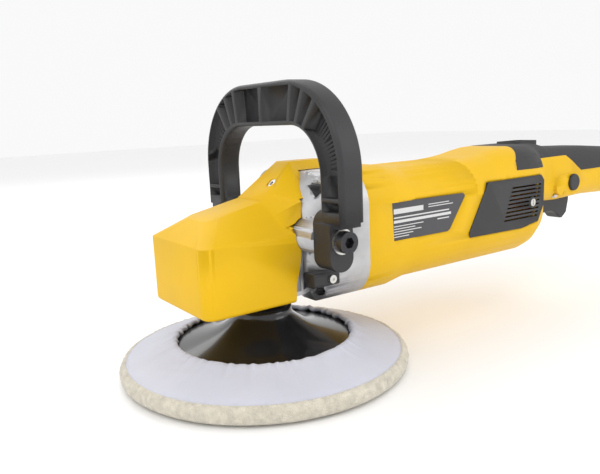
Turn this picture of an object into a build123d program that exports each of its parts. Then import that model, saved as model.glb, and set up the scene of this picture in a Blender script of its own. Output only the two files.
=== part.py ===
# Rotary polisher, millimetres. Origin: spindle axis at the pad's working face, +Z up the
# spindle, the head looks towards -X and the rear handle towards +X.
import os
from math import acos, cos, pi, radians, sin, sqrt, tan

from build123d import *

os.makedirs("parts", exist_ok=True)

# ---- driving dimensions
RUN = 0.05            # radial clearance of a running fit
BONNET_R = 96.0       # bonnet outside radius, pile included
PILE_H = 8.0          # height of the pile below the backing pad
BONNET_OPEN_R = 57.8  # radius of the gathered opening on top
PAD_R = 87.0          # backing pad
PAD_TOP_Z = 42.0
SPINDLE_R = 7.5       # at the lower bearing
LAY_Z = 65.0          # layshaft axis height
MODULE = 1.0          # spur pair
PINION_N, GEAR_N = 12, 28
BEVEL_M = 1.4         # bevel pair, module at the large end
BEVEL_N, RING_N = 10, 37
PRESSURE = radians(25.0)
MOTOR_Z = LAY_Z + MODULE * (PINION_N + GEAR_N) / 2
HEAD_HW = 38.0        # half width of the head cover
HEAD_FRONT_X = -60.0
COVER_T = 2.5
FLANGE_HW = 44.0      # square rear flange of the gear case
FLANGE_LO, FLANGE_HI = 43.0, 128.0
JOINT_X = 57.0        # gear case to motor housing
BODY_HW = 42.0
BODY_LO, BODY_HI = 45.0, 124.5
SEAM_X = 262.0        # motor housing to handle
HANDLE_HW = 22.0
HANDLE_LEN = 168.0    # from the seam to the rear face
WALL = 3.2
RUBBER_T = 1.8
BAIL_HW = 79.5        # bail handle, outside half width
BAIL_TOP_Z = 184.5
BAIL_D = 17.0         # bail handle depth along X
BAIL_X = 14.5
BOLT_Z = 90.4
BOLT_R = 4.0
DIAL_R, DIAL_W, DIAL_X, DIAL_Z = 12.3, 12.0, 268.0, 120.6
TRIG_W = 14.0
TRIG_PIVOT = (297.0, 84.0)
BUTTON_R, BUTTON_X, BUTTON_Z = 7.5, 318.0, 94.4
LOCK_R = 3.0          # spindle lock pin


# ---- helpers shared by several parts
def involute(n, module, flank_r, backlash):
    """Half thickness of an involute tooth at radius flank_r."""
    pitch = n * module / 2
    base = pitch * cos(PRESSURE)
    a = acos(min(1.0, base / max(flank_r, base)))
    half = pi / (2 * n) - backlash / (2 * pitch)
    return (half + tan(PRESSURE) - PRESSURE - (tan(a) - a)) * flank_r


def gear_points(n, module, phase, backlash):
    """Outline of a spur gear, tooth centred on angle phase."""
    pitch = n * module / 2
    radii = [pitch - 1.25 * module, pitch - 0.5 * module, pitch,
             pitch + 0.5 * module, pitch + 0.95 * module]
    points = []
    for i in range(n):
        centre = phase + 2 * pi * i / n
        left = [(r, centre - involute(n, module, r, backlash) / r) for r in radii]
        right = [(r, centre + involute(n, module, r, backlash) / r) for r in reversed(radii)]
        points += [(r * cos(t), r * sin(t)) for r, t in left + right]
    return points


def bevel_tooth(n, mate, module, face, add, ded, backlash):
    """Corner points of one straight bevel tooth at angle 0: (axial, radial, sideways)."""
    cone = module / 2 * sqrt(n * n + mate * mate)
    tilt = acos(mate * module / 2 / cone)
    virtual = n / cos(tilt)
    points = []
    for scale in (1.0, (cone - face) / cone):
        for h in (-ded, -0.5 * ded, 0.0, 0.5 * add, add):
            t = involute(virtual, module, virtual * module / 2 + h, backlash)
            ax = (cone * cos(tilt) - h * sin(tilt)) * scale
            rad = (cone * sin(tilt) + h * cos(tilt)) * scale
            points += [(ax, rad, t * scale), (ax, rad, -t * scale)]
    return points


def turned(profile, axis_z=None):
    """Solid of revolution from (radius, height) points: about Z, or about X at axis_z."""
    if axis_z is None:
        pts, line = [(r, 0, z) for r, z in profile], Axis.Z
    else:
        pts = [(x, 0, axis_z + r) for r, x in profile]
        line = Axis((0, 0, axis_z), (1, 0, 0))
    return Solid.revolve(Face(Wire.make_polygon(pts)), 360, line)


def ring(r_in, r_out, lo, hi, axis_z=None):
    return turned([(r_in, lo), (r_out, lo), (r_out, hi), (r_in, hi)], axis_z)


def bearing(r_in, r_out, lo, hi, axis_z=None):
    """Plain bearing ring with a shallow shield groove on both faces."""
    a, b = r_in + 0.28 * (r_out - r_in), r_in + 0.72 * (r_out - r_in)
    g = 0.5
    return turned([(r_in, lo), (a, lo), (a, lo + g), (b, lo + g), (b, lo), (r_out, lo),
                   (r_out, hi), (b, hi), (b, hi - g), (a, hi - g), (a, hi), (r_in, hi)], axis_z)


def rod(r, start, end):
    """Round bar between two points."""
    way = Vector(*end) - Vector(*start)
    return Solid.make_cylinder(r, way.length, Plane(Vector(*start), z_dir=way))


def box(x0, x1, y0, y1, z0, z1):
    return Solid.make_box(x1 - x0, y1 - y0, z1 - z0, Plane((x0, y0, z0)))


def side_prism(points, y0, y1):
    """Polygon in the XZ plane, extruded from y0 to y1."""
    face = Face(Wire.make_polygon([(x, y0, z) for x, z in points]))
    return Solid.extrude(face, Vector(0, y1 - y0, 0))


def plan_loft(inset, base_z, top):
    """Head block: straight sides up to the crease, then a sloped hipped top."""
    rear = 13.0
    x0 = HEAD_FRONT_X + inset
    w = 2 * (HEAD_HW - inset)
    mid = (x0 + rear) / 2
    low = Plane.XY.offset(base_z) * Pos(mid, 0) * RectangleRounded(rear - x0, w, 8 - inset / 2)
    crease = Plane.XY.offset(91.5) * Pos(mid, 0) * RectangleRounded(rear - x0, w, 8 - inset / 2)
    tilt = Plane(origin=(-16.0, 0, 109.5 - top), x_dir=(cos(0.2), 0, sin(0.2)),
                 z_dir=(-sin(0.2), 0, cos(0.2)))
    crown = tilt * Pos(inset / 2, 0) * RectangleRounded(60 - inset, 30 - inset, 8 - inset / 2)
    return extrude(low, 91.5 - base_z) + loft([crease.face(), crown.face()], ruled=True)


# ---- master skins of motor housing and rear handle: outside, under the rubber, inside
REAR_X = SEAM_X + HANDLE_LEN
TAIL = [
    (165, 0, 0.1), (180, 0, 1.1), (194, 0, 2.7), (207, 0, 5.1), (219, 0, 6.8), (232, 0, 7.4),
]
tail = [(x, BODY_HW, BODY_LO, BODY_HI + rise, 26) for x, _, rise in TAIL]
tail += [
    (242, BODY_HW - 0.4, BODY_LO + 1.5, 132.0, 27), (251, BODY_HW - 2.5, BODY_LO + 6, 132.2, 27),
    (258, BODY_HW - 7.5, BODY_LO + 13.5, 132.4, 25), (264, HANDLE_HW + 5, 70, 132.6, 19),
    (270, HANDLE_HW + 1.2, 76, 132.4, 15.5), (279, HANDLE_HW, 78.7, 130.8, 14),
    (290, HANDLE_HW, 79, 128.2, 14), (310, HANDLE_HW, 78.2, 126.8, 14),
    (SEAM_X + 88 * HANDLE_LEN / 168, HANDLE_HW, 79.5, 125.2, 14),
    (SEAM_X + 135 * HANDLE_LEN / 168, HANDLE_HW - 1, 77.5, 121.6, 14),
    (REAR_X, HANDLE_HW - 1.5, 78.5, 118.5, 14),
]
FLARE_X0, FLARE_X1 = 82.0, 102.0
skins = {}
for inset in (0.0, RUBBER_T, WALL):
    with BuildPart() as skin:
        with BuildSketch(Plane.YZ.offset(JOINT_X)):
            with Locations((0, (FLANGE_LO + FLANGE_HI) / 2)):
                RectangleRounded(2 * (FLANGE_HW - inset), FLANGE_HI - FLANGE_LO - 2 * inset,
                                 24 - inset)
        extrude(amount=FLARE_X0 - JOINT_X)
        with BuildSketch(Plane.YZ.offset(FLARE_X0)) as flare_a:
            with Locations((0, (FLANGE_LO + FLANGE_HI) / 2)):
                RectangleRounded(2 * (FLANGE_HW - inset), FLANGE_HI - FLANGE_LO - 2 * inset,
                                 24 - inset)
        with BuildSketch(Plane.YZ.offset(FLARE_X1)) as flare_b:
            with Locations((0, (BODY_LO + BODY_HI) / 2)):
                RectangleRounded(2 * (BODY_HW - inset), BODY_HI - BODY_LO - 2 * inset, 26 - inset)
        loft(ruled=True)
        with BuildSketch(Plane.YZ.offset(FLARE_X1)):
            with Locations((0, (BODY_LO + BODY_HI) / 2)):
                RectangleRounded(2 * (BODY_HW - inset), BODY_HI - BODY_LO - 2 * inset, 26 - inset)
        extrude(amount=tail[0][0] - FLARE_X1)
        for x, hw, lo, hi, r in tail:
            end = inset if x == REAR_X else 0
            with BuildSketch(Plane.YZ.offset(x - end)):
                with Locations((0, (lo + hi) / 2)):
                    RectangleRounded(2 * (hw - inset), hi - lo - 2 * inset, r - inset)
        loft(ruled=True)
    skins[inset] = skin.part
outer, under_rubber, inside = skins[0.0], skins[RUBBER_T], skins[WALL]

# ==== spindle group ====
# ---- spindle shaft: forged steel, threaded nose for the pad, journals for bearing and bush
SEAT_R, JOURNAL_R, SHAFT_TOP = SPINDLE_R + 0.5, SPINDLE_R - 1.5, 97.0
GEAR_LO, GEAR_HI = LAY_Z + 3.0, LAY_Z + 17.0
with BuildPart() as spindle_shaft:
    add(turned([(0, 22), (6, 22), (7, 23), (7, PAD_TOP_Z), (SPINDLE_R + 2.5, PAD_TOP_Z),
                (SPINDLE_R + 2.5, 46.3), (SPINDLE_R, 46.3), (SPINDLE_R, 58), (SEAT_R, 58),
                (SEAT_R, GEAR_HI + 1), (JOURNAL_R, GEAR_HI + 1), (JOURNAL_R, SHAFT_TOP),
                (0, SHAFT_TOP)]))
    add(box(-20, -SPINDLE_R - 1.2, -20, 20, 42.5, 44), mode=Mode.SUBTRACT)
    add(box(SPINDLE_R + 1.2, 20, -20, 20, 42.5, 44), mode=Mode.SUBTRACT)
spindle_shaft.part.label = "spindle_shaft"
export_step(spindle_shaft.part, "parts/spindle_shaft.step")

# ---- bevel ring gear: steel, teeth face down over the layshaft pinion
CONE = BEVEL_M / 2 * sqrt(BEVEL_N ** 2 + RING_N ** 2)
FACE = 7.0
RING_TILT = acos(BEVEL_N * BEVEL_M / 2 / CONE)
TOOTH_LASH = 0.32
ring_tooth = bevel_tooth(RING_N, BEVEL_N, BEVEL_M, FACE, 0.8 * BEVEL_M, 1.25 * BEVEL_M, TOOTH_LASH)
ring_r = RING_N * BEVEL_M / 2
root_h = -1.15 * BEVEL_M


def cone_point(tilt, h, scale):
    return ((CONE * sin(tilt) + h * cos(tilt)) * scale, (CONE * cos(tilt) - h * sin(tilt)) * scale)


k = (CONE - FACE) / CONE
(ro, ao), (ri, ai) = cone_point(RING_TILT, root_h, 1.0), cone_point(RING_TILT, root_h, k)
with BuildPart() as bevel_ring_gear:
    add(turned([(SEAT_R, LAY_Z + ai - 1), (ri - 1, LAY_Z + ai - 1), (ri, LAY_Z + ai),
                (ro, LAY_Z + ao), (ring_r + 0.3, LAY_Z + ao + 0.6), (ring_r + 0.3, LAY_Z + 12.5),
                (15, LAY_Z + 14), (14, GEAR_HI), (SEAT_R, GEAR_HI)]))
    for i in range(RING_N):
        a = 2 * pi * (i + 0.5) / RING_N
        ConvexPolyhedron([(r * cos(a) - t * sin(a), r * sin(a) + t * cos(a), LAY_Z + ax)
                          for ax, r, t in ring_tooth])
bevel_ring_gear.part.label = "bevel_ring_gear"
export_step(bevel_ring_gear.part, "parts/bevel_ring_gear.step")

# ---- pad hub nut: steel insert moulded into the pad, threaded on the spindle nose
HUB_R = 13.0
with BuildPart() as pad_hub_nut:
    add(turned([(7, 22), (HUB_R, 22), (HUB_R, 38), (11.5, 38), (11.5, PAD_TOP_Z), (7, PAD_TOP_Z)]))
pad_hub_nut.part.label = "pad_hub_nut"
export_step(pad_hub_nut.part, "parts/pad_hub_nut.step")

# ---- backing pad: moulded disc with a concave cone and a narrow neck
COVER_Z = 19.2        # top of the pad at the bonnet's opening
with BuildPart() as backing_pad:
    with BuildSketch(Plane.XZ):
        with BuildLine():
            Polyline((0, PILE_H), (PAD_R - 2, PILE_H), (PAD_R, PILE_H + 1.6), (PAD_R - 1.5, 11.0),
                     (BONNET_OPEN_R, COVER_Z))
            Spline((BONNET_OPEN_R, COVER_Z), (44, 22.6), (31, 27.0), (22.5, 32.5), (19, 38),
                   tangents=[(-1, 0.24), (-0.1, 1)])
            Polyline((19, 38), (19, PAD_TOP_Z - 1.2), (17.8, PAD_TOP_Z), (11.5, PAD_TOP_Z),
                     (11.5, 38), (HUB_R, 38), (HUB_R, 22), (0, 22), (0, PILE_H))
        make_face()
    revolve(axis=Axis.Z)
    add(rod(7.2, (0, 0, 18), (0, 0, 22)), mode=Mode.SUBTRACT)
backing_pad.part.label = "backing_pad"
export_step(backing_pad.part, "parts/backing_pad.step")

# ---- wool bonnet: pile face and rim, with a drawstring cover gathered over the pad
FABRIC_T = 2.6
with BuildPart() as wool_bonnet:
    with BuildSketch(Plane.XZ):
        with BuildLine():
            Polyline((0, 0), (BONNET_R - 5, 0))
            ThreePointArc((BONNET_R - 5, 0), (BONNET_R, 6.2), (BONNET_R - 4.6, 12.6))
            Polyline((BONNET_R - 4.6, 12.6), (BONNET_R - 5.6, 12.3), (BONNET_OPEN_R + 8, 20.6),
                     (BONNET_OPEN_R + 2, 22.8), (BONNET_OPEN_R, 22.0),
                     (BONNET_OPEN_R, COVER_Z + 0.35), (PAD_R - 1.2, 11.4),
                     (PAD_R + 0.5, PILE_H + 1.9), (PAD_R + 0.4, PILE_H), (0, PILE_H), (0, 0))
        make_face()
    revolve(axis=Axis.Z)
wool_bonnet.part.label = "wool_bonnet"
export_step(wool_bonnet.part, "parts/wool_bonnet.step")

# ==== layshaft group ====
# ---- layshaft: steel, carries the bevel pinion and the driven spur gear
LAY_R, LAY_NOSE_R, LAY_TAIL_R = 5.0, 3.0, 3.5
BRG_A0, BRG_A1 = 29.6, 36.6
SPUR_X0, SPUR_X1 = 40.0, 48.0
BRG_B0, BRG_B1 = 49.5, 55.5
with BuildPart() as layshaft:
    add(turned([(0, 17), (LAY_NOSE_R, 17), (LAY_NOSE_R, 28.6), (LAY_R, 28.6), (LAY_R, SPUR_X1 + 1),
                (LAY_TAIL_R, SPUR_X1 + 1), (LAY_TAIL_R, BRG_B1), (0, BRG_B1)], LAY_Z))
layshaft.part.label = "layshaft"
export_step(layshaft.part, "parts/layshaft.step")

# ---- layshaft spur gear
with BuildPart() as layshaft_gear:
    with BuildSketch(Plane.YZ.offset(SPUR_X0)):
        with Locations((0, LAY_Z)):
            Polygon(*gear_points(GEAR_N, MODULE, pi / 2, 0.16), align=None)
            Circle(LAY_R, mode=Mode.SUBTRACT)
    extrude(amount=SPUR_X1 - SPUR_X0)
layshaft_gear.part.label = "layshaft_gear"
export_step(layshaft_gear.part, "parts/layshaft_gear.step")

# ---- bevel pinion: steel, teeth cut on a cone with its apex on the spindle axis
PIN_TILT = acos(RING_N * BEVEL_M / 2 / CONE)
pin_tooth = bevel_tooth(BEVEL_N, RING_N, BEVEL_M, FACE, 0.85 * BEVEL_M, 1.2 * BEVEL_M, TOOTH_LASH)
(po, pa), (qi, qa) = cone_point(PIN_TILT, root_h, 1.0), cone_point(PIN_TILT, root_h, k)
with BuildPart() as bevel_pinion:
    add(turned([(LAY_NOSE_R, qa), (qi, qa), (po, pa), (po + 0.4, pa + 0.8), (po + 0.4, 28.6),
                (LAY_NOSE_R, 28.6)], LAY_Z))
    for i in range(BEVEL_N):
        a = 2 * pi * i / BEVEL_N
        ConvexPolyhedron([(ax, -r * sin(a) + t * cos(a), LAY_Z + r * cos(a) + t * sin(a))
                          for ax, r, t in pin_tooth])
bevel_pinion.part.label = "bevel_pinion"
export_step(bevel_pinion.part, "parts/bevel_pinion.step")

# ==== armature group ====
# ---- armature shaft
ARM_R, ARM_TIP_R, ARM_TAIL_R = 5.0, 3.0, 4.0
BRG_C0, BRG_C1 = 58.0, 66.0
BRG_D0, BRG_D1 = 186.0, 193.0
with BuildPart() as armature_shaft:
    add(turned([(0, 39.5), (ARM_TIP_R, 39.5), (ARM_TIP_R, 49), (ARM_R, 49), (ARM_R, 184),
                (ARM_TAIL_R, 184), (ARM_TAIL_R, 195), (0, 195)], MOTOR_Z))
armature_shaft.part.label = "armature_shaft"
export_step(armature_shaft.part, "parts/armature_shaft.step")

# ---- armature pinion, a tooth space below so that it meshes with the layshaft gear
with BuildPart() as armature_pinion:
    with BuildSketch(Plane.YZ.offset(SPUR_X0)):
        with Locations((0, MOTOR_Z)):
            Polygon(*gear_points(PINION_N, MODULE, -pi / 2 + pi / PINION_N, 0.16), align=None)
            Circle(ARM_TIP_R, mode=Mode.SUBTRACT)
    extrude(amount=SPUR_X1 - SPUR_X0)
armature_pinion.part.label = "armature_pinion"
export_step(armature_pinion.part, "parts/armature_pinion.step")

# ---- armature core: slotted lamination stack
ARM_CORE_R, CORE_X0, CORE_X1 = 23.5, 98.0, 148.0
with BuildPart() as armature_core:
    with BuildSketch(Plane.YZ.offset(CORE_X0)):
        with Locations((0, MOTOR_Z)):
            Circle(ARM_CORE_R)
            Circle(ARM_R, mode=Mode.SUBTRACT)
            with PolarLocations(ARM_CORE_R, 12):
                Rectangle(9, 2.4, mode=Mode.SUBTRACT)
    extrude(amount=CORE_X1 - CORE_X0)
armature_core.part.label = "armature_core"
export_step(armature_core.part, "parts/armature_core.step")

# ---- commutator: copper bars in a ring
COMM_R = 13.0
with BuildPart() as commutator:
    with BuildSketch(Plane.YZ.offset(160)):
        with Locations((0, MOTOR_Z)):
            Circle(COMM_R)
            Circle(ARM_R, mode=Mode.SUBTRACT)
            with PolarLocations(COMM_R, 24):
                Rectangle(3, 0.5, mode=Mode.SUBTRACT)
    extrude(amount=17)
commutator.part.label = "commutator"
export_step(commutator.part, "parts/commutator.step")

# ---- cooling fan: plastic disc with straight blades
FAN_R = 33.0
with BuildPart() as cooling_fan:
    add(ring(ARM_R, FAN_R, 72, 74, MOTOR_Z))
    add(ring(ARM_R, 9, 72, 84, MOTOR_Z))
    with BuildSketch(Plane.YZ.offset(73)):
        with Locations((0, MOTOR_Z)):
            with PolarLocations(FAN_R - 8, 18):
                Rectangle(14, 1.4)
    extrude(amount=10)
cooling_fan.part.label = "cooling_fan"
export_step(cooling_fan.part, "parts/cooling_fan.step")

# ==== gear case and what it carries ====
# ---- gear case: cast aluminium head, square rear flange, two side bosses for the bail handle
CAV_R = 28.0
BOX_R = 34.4          # bearing box flange
BOX_LO, BOX_HI = 52.4, 55.4
CASE_GAP = 3.4
CASE_PLATE_R = 36.0
SCREW_Y, SCREW_LO, SCREW_HI = 33.0, 54.5, 116.5
head_skin = plan_loft(CASE_GAP, BOX_HI, 3.2)
BOSS_END = 52.0
mid_z = (FLANGE_LO + FLANGE_HI) / 2
with BuildPart() as gear_case:
    add(head_skin)
    with BuildSketch(Plane.YZ.offset(25)):
        with Locations((0, mid_z)):
            RectangleRounded(2 * FLANGE_HW, FLANGE_HI - FLANGE_LO, 24)
    extrude(amount=JOINT_X - 25)
    with BuildSketch(Plane.YZ.offset(25)):
        with Locations((0, mid_z)):
            RectangleRounded(2 * FLANGE_HW, FLANGE_HI - FLANGE_LO, 24)
    with BuildSketch(Plane.YZ.offset(12)):
        with Locations((0, 84)):
            RectangleRounded(2 * FLANGE_HW - 18, 56, 18)
    loft(ruled=True)
    for side in (-1, 1):
        add(rod(10.5, (BAIL_X, side * 30, BOLT_Z), (BAIL_X, side * BOSS_END, BOLT_Z)))
    add(rod(CAV_R, (0, 0, 30), (0, 0, 86)), mode=Mode.SUBTRACT)
    add(rod(9.8, (10, 0, LAY_Z), (29.6, 0, LAY_Z)), mode=Mode.SUBTRACT)
    add(rod(11, (BRG_A0, 0, LAY_Z), (39, 0, LAY_Z)), mode=Mode.SUBTRACT)
    add(rod(16.3, (38.6, 0, LAY_Z), (JOINT_X, 0, LAY_Z)), mode=Mode.SUBTRACT)
    add(rod(33.0, (38.6, 0, MOTOR_Z - 1), (JOINT_X, 0, MOTOR_Z - 1)), mode=Mode.SUBTRACT)
    add(rod(CASE_PLATE_R, (53, 0, MOTOR_Z - 1), (JOINT_X, 0, MOTOR_Z - 1)), mode=Mode.SUBTRACT)
    add(rod(9.5, (0, 0, 80), (0, 0, 98.5)), mode=Mode.SUBTRACT)
    with BuildSketch(Plane.XY.offset(30)):
        Circle(BOX_R + 0.4)
        with Locations((-40, 0)):
            Rectangle(132, 90, mode=Mode.INTERSECT)
    extrude(amount=BOX_HI - 30, mode=Mode.SUBTRACT)
    for a in (45, 135, 225, 315):
        p = (30.9 * cos(radians(a)), 30.9 * sin(radians(a)))
        add(rod(1.5, (*p, BOX_HI), (*p, BOX_HI + 11)), mode=Mode.SUBTRACT)
    for side in (-1, 1):
        add(rod(BOLT_R, (BAIL_X, side * 40, BOLT_Z), (BAIL_X, side * BOSS_END, BOLT_Z)),
            mode=Mode.SUBTRACT)
        for z in (SCREW_LO, SCREW_HI):
            p = (side * SCREW_Y, z)
            add(rod(2.5, (40, *p), (JOINT_X, *p)), mode=Mode.SUBTRACT)
            add(rod(5.2, (20, *p), (46, *p)), mode=Mode.SUBTRACT)
    add(rod(LOCK_R + RUN, (-14, 20, 63.5), (-14, 50, 63.5)), mode=Mode.SUBTRACT)
gear_case.part.label = "gear_case"
export_step(gear_case.part, "parts/gear_case.step")

# ---- bearing box: aluminium, closes the head from below and holds the spindle bearing
with BuildPart() as bearing_box:
    with BuildSketch(Plane.XY.offset(BOX_LO)):
        Circle(BOX_R)
        with Locations((-40, 0)):
            Rectangle(131, 90, mode=Mode.INTERSECT)
    extrude(amount=BOX_HI - BOX_LO)
    add(turned([(12, 44.5), (20, 44.5), (21, 45.5), (21, 58), (12, 58)]))
    add(rod(17.5, (0, 0, 46.5), (0, 0, 60)), mode=Mode.SUBTRACT)
    add(rod(12, (0, 0, 40), (0, 0, 60)), mode=Mode.SUBTRACT)
    for a in (45, 135, 225, 315):
        p = (30.9 * cos(radians(a)), 30.9 * sin(radians(a)))
        add(rod(1.5, (*p, BOX_LO), (*p, BOX_HI)), mode=Mode.SUBTRACT)
        add(rod(2.8, (*p, BOX_LO - 1), (*p, BOX_LO + 1.6)), mode=Mode.SUBTRACT)
bearing_box.part.label = "bearing_box"
export_step(bearing_box.part, "parts/bearing_box.step")

# ---- bearing box screws
with BuildPart() as bearing_box_screws:
    for a in (45, 135, 225, 315):
        p = (30.9 * cos(radians(a)), 30.9 * sin(radians(a)))
        add(rod(2.7, (*p, BOX_LO + 0.1), (*p, BOX_LO + 1.6)))
        add(rod(1.5, (*p, BOX_LO + 1.6), (*p, BOX_HI + 10)))
        add(rod(0.9, (*p, BOX_LO), (*p, BOX_LO + 1)), mode=Mode.SUBTRACT)
bearing_box_screws.part.label = "bearing_box_screws"
export_step(bearing_box_screws.part, "parts/bearing_box_screws.step")

# ---- spindle bearing, upper bush and dust seal
with BuildPart() as spindle_lower_bearing:
    add(bearing(SPINDLE_R + RUN, 17.5, 46.5, 57.5))
spindle_lower_bearing.part.label = "spindle_lower_bearing"
export_step(spindle_lower_bearing.part, "parts/spindle_lower_bearing.step")

with BuildPart() as spindle_upper_bush:
    add(ring(JOURNAL_R + RUN, 9.5, 86.5, 97.5))
spindle_upper_bush.part.label = "spindle_upper_bush"
export_step(spindle_upper_bush.part, "parts/spindle_upper_bush.step")

with BuildPart() as dust_seal:
    add(ring(SPINDLE_R + 2.5 + RUN, 12, 44.7, 46.2))
dust_seal.part.label = "dust_seal"
export_step(dust_seal.part, "parts/dust_seal.step")

# ---- gearbox plate: closes the case at the rear, carries layshaft and armature bearings
with BuildPart() as gearbox_plate:
    add(rod(32.6, (49, 0, MOTOR_Z - 1), (53, 0, MOTOR_Z - 1)))
    add(rod(CASE_PLATE_R, (53, 0, MOTOR_Z - 1), (JOINT_X, 0, MOTOR_Z - 1)))
    add(rod(17, (55, 0, MOTOR_Z), (BRG_C1 + 0.6, 0, MOTOR_Z)))
    add(rod(9.5, (48, 0, LAY_Z), (BRG_B1, 0, LAY_Z)), mode=Mode.SUBTRACT)
    add(rod(7, (48, 0, MOTOR_Z), (60, 0, MOTOR_Z)), mode=Mode.SUBTRACT)
    add(rod(13, (BRG_C0, 0, MOTOR_Z), (70, 0, MOTOR_Z)), mode=Mode.SUBTRACT)
gearbox_plate.part.label = "gearbox_plate"
export_step(gearbox_plate.part, "parts/gearbox_plate.step")

# ---- ball bearings of layshaft and armature
with BuildPart() as layshaft_front_bearing:
    add(bearing(LAY_R + RUN, 11, BRG_A0, BRG_A1, LAY_Z))
layshaft_front_bearing.part.label = "layshaft_front_bearing"
export_step(layshaft_front_bearing.part, "parts/layshaft_front_bearing.step")

with BuildPart() as layshaft_rear_bearing:
    add(bearing(LAY_TAIL_R + RUN, 9.5, BRG_B0, BRG_B1, LAY_Z))
layshaft_rear_bearing.part.label = "layshaft_rear_bearing"
export_step(layshaft_rear_bearing.part, "parts/layshaft_rear_bearing.step")

with BuildPart() as armature_front_bearing:
    add(bearing(ARM_R + RUN, 13, BRG_C0, BRG_C1, MOTOR_Z))
armature_front_bearing.part.label = "armature_front_bearing"
export_step(armature_front_bearing.part, "parts/armature_front_bearing.step")

with BuildPart() as armature_rear_bearing:
    add(bearing(ARM_TAIL_R + RUN, 11, BRG_D0, BRG_D1, MOTOR_Z))
armature_rear_bearing.part.label = "armature_rear_bearing"
export_step(armature_rear_bearing.part, "parts/armature_rear_bearing.step")

# ---- head cover: moulded yellow shell over the gear case, with a raised hump at the rear
HUMP_TOP = 134.0
hump_out = [(21, -7, HUMP_TOP), (21, 7, HUMP_TOP), (50, -5, HUMP_TOP), (50, 5, HUMP_TOP),
            (2.6, -17, 115.8), (2.6, 17, 115.8), (-6, -14, 112), (-6, 14, 112),
            (13, -31, 111), (13, 31, 111), (22, -30, 113), (22, 30, 113),
            (14, -33, 100), (14, 33, 100), (-2, -33, 96), (-2, 33, 96), (22, -28, 104), (22, 28, 104)]
COVER_LO = 49.4
cover_out = plan_loft(0.0, COVER_LO, 0.0)
cover_in = plan_loft(COVER_T, COVER_LO + 2, 2.6)
case_room = box(24.4, 70, -50, 50, 40, FLANGE_HI + 0.5)
with BuildPart() as front_cover:
    add(cover_out)
    fillet([e for e in front_cover.edges() if e.center().Z < COVER_LO + 0.1], 3.0)
    ConvexPolyhedron(hump_out)
    add(cover_in, mode=Mode.SUBTRACT)
    ConvexPolyhedron([(x + 0.5, y * 0.86, z - COVER_T * 1.1) for x, y, z in hump_out],
                     mode=Mode.SUBTRACT)
    add(case_room, mode=Mode.SUBTRACT)
    add(side_prism([(1.0, 30), (2.3, 61), (5, 70), (11, 100), (13, 112.5), (90, 112.5), (90, 30)],
                   -60, 60), mode=Mode.SUBTRACT)
    add(rod(23.5, (0, 0, 40), (0, 0, 52)), mode=Mode.SUBTRACT)
    for side in (-1, 1):
        add(rod(11.2, (BAIL_X, side * 20, BOLT_Z), (BAIL_X, side * 60, BOLT_Z)), mode=Mode.SUBTRACT)
    add(rod(7.4, (-14, 30, 63.5), (-14, 50, 63.5)), mode=Mode.SUBTRACT)
    add(rod(1.5, (14, -8, 114), (7, -8, 121)), mode=Mode.SUBTRACT)
    add(rod(3.4, (8.9, -8, 119.1), (-3, -8, 131)), mode=Mode.SUBTRACT)
    add(gear_case.part, mode=Mode.SUBTRACT)
    keep = front_cover.part.solids().sort_by(SortBy.VOLUME)[-1]
    add(keep, mode=Mode.INTERSECT)
front_cover.part.label = "front_cover"
export_step(front_cover.part, "parts/front_cover.step")

# ==== motor housing and rear handle ====
RUBBER_ZONE = [(233, 145), (229, 131), (217, 121), (214, 114), (258, 113.5), (266, 119),
               (310.5, 119), (333.6, 104), (REAR_X + 20, 104), (REAR_X + 20, 145)]
VENT = [(177, 108), (243, 108.3), (247, 104), (247, 84), (240, 71), (218, 67.8), (157, 68.8),
        (155.5, 72)]
VENT_HOLE = [(183, 103.5), (241, 104), (241, 84), (236, 75.5), (218, 73), (163, 73.5)]
LABEL = [(77, 103.6), (149, 103), (151, 101), (135, 78.5), (132.5, 77.2), (78.5, 77.5)]
BUSH_Z = 98.0
dial_room = box(DIAL_X - 14, DIAL_X + 14, -DIAL_W / 2 - 0.6, DIAL_W / 2 + 0.6, 106.5, 150)
skin_layer = outer - under_rubber
rubber_prism = side_prism(RUBBER_ZONE, -70, 70)
front_half = box(0, SEAM_X, -80, 80, 0, 200)

# ---- rubber overmould on the handle and the rear of the housing
with BuildPart() as handle_grip:
    add(skin_layer & rubber_prism)
    with BuildSketch(Plane.XY.offset(128.0)):
        with Locations((DIAL_X, 0)):
            RectangleRounded(31, 23, 5)
    extrude(amount=5.8)
    add(under_rubber, mode=Mode.SUBTRACT)
    add(dial_room, mode=Mode.SUBTRACT)
    add(rod(9, (REAR_X - 10, 0, BUSH_Z), (REAR_X + 10, 0, BUSH_Z)), mode=Mode.SUBTRACT)
handle_grip.part.label = "handle_grip"
export_step(handle_grip.part, "parts/handle_grip.step")

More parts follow.
